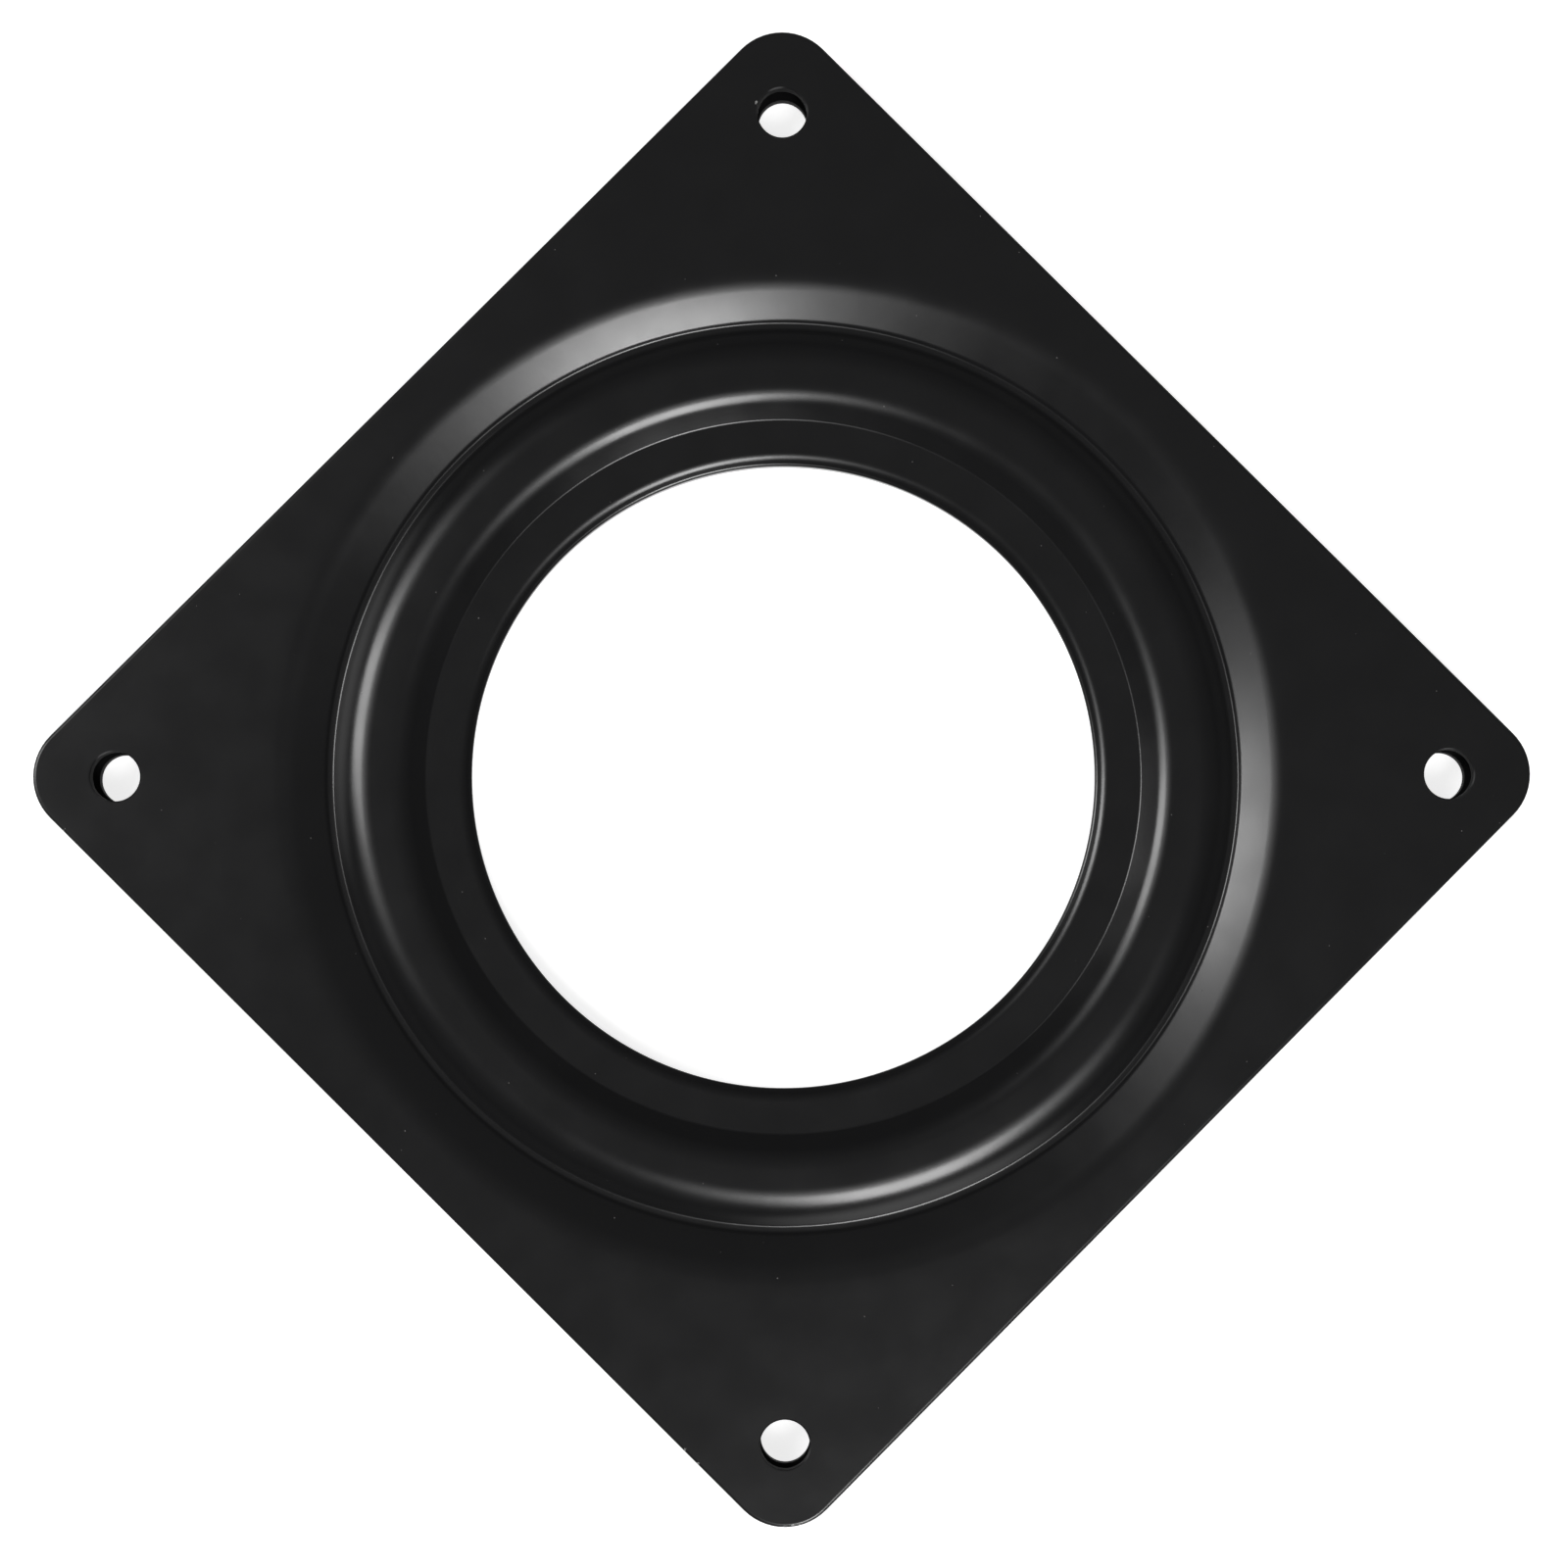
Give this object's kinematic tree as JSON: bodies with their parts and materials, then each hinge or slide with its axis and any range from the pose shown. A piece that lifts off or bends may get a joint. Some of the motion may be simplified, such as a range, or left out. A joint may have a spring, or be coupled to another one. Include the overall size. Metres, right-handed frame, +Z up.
{
  "type": "seat swivel plate",
  "caption": "Two square pressed steel plates that turn on each other on a ring of loose balls, with a wide round bore and a bolt hole in each corner.",
  "frame": {"origin": "middle of the plate, on the face it rests on", "axes": "+Z up along the turning axis, X and Y along the sides of the square"},
  "size_m": [0.15, 0.15, 0.009],
  "materials": {
    "black_coat": "semi-gloss black coating",
    "ball_steel": "polished hardened steel, lightly greased"
  },
  "bodies": {
    "lower": {"lower_plate": "black_coat"},
    "upper": {"upper_plate": "black_coat"},
    "ball_ring": {"ball_01": "ball_steel", "ball_02": "ball_steel", "ball_03": "ball_steel", "ball_04": "ball_steel", "ball_05": "ball_steel", "ball_06": "ball_steel", "ball_07": "ball_steel", "ball_08": "ball_steel", "ball_09": "ball_steel", "ball_10": "ball_steel", "ball_11": "ball_steel", "ball_12": "ball_steel", "ball_13": "ball_steel", "ball_14": "ball_steel", "ball_15": "ball_steel", "ball_16": "ball_steel", "ball_17": "ball_steel", "ball_18": "ball_steel", "ball_19": "ball_steel", "ball_20": "ball_steel", "ball_21": "ball_steel", "ball_22": "ball_steel", "ball_23": "ball_steel", "ball_24": "ball_steel", "ball_25": "ball_steel", "ball_26": "ball_steel", "ball_27": "ball_steel", "ball_28": "ball_steel", "ball_29": "ball_steel", "ball_30": "ball_steel", "ball_31": "ball_steel", "ball_32": "ball_steel", "ball_33": "ball_steel", "ball_34": "ball_steel", "ball_35": "ball_steel", "ball_36": "ball_steel", "ball_37": "ball_steel", "ball_38": "ball_steel", "ball_39": "ball_steel", "ball_40": "ball_steel", "ball_41": "ball_steel", "ball_42": "ball_steel", "ball_43": "ball_steel", "ball_44": "ball_steel", "ball_45": "ball_steel", "ball_46": "ball_steel", "ball_47": "ball_steel", "ball_48": "ball_steel"}
  },
  "joints": [
    {"name": "swivel", "type": "hinge", "parent": "lower", "child": "upper", "pos_m": [0, 0, 0.0045], "axis": [0, 0, 1], "continuous": true},
    {"name": "ball_travel", "type": "hinge", "parent": "lower", "child": "ball_ring", "pos_m": [0, 0, 0.0045], "axis": [0, 0, 1], "continuous": true}
  ],
  "couplings": [
    {"joint": "ball_travel", "follows": "swivel", "ratio": 0.5}
  ]
}
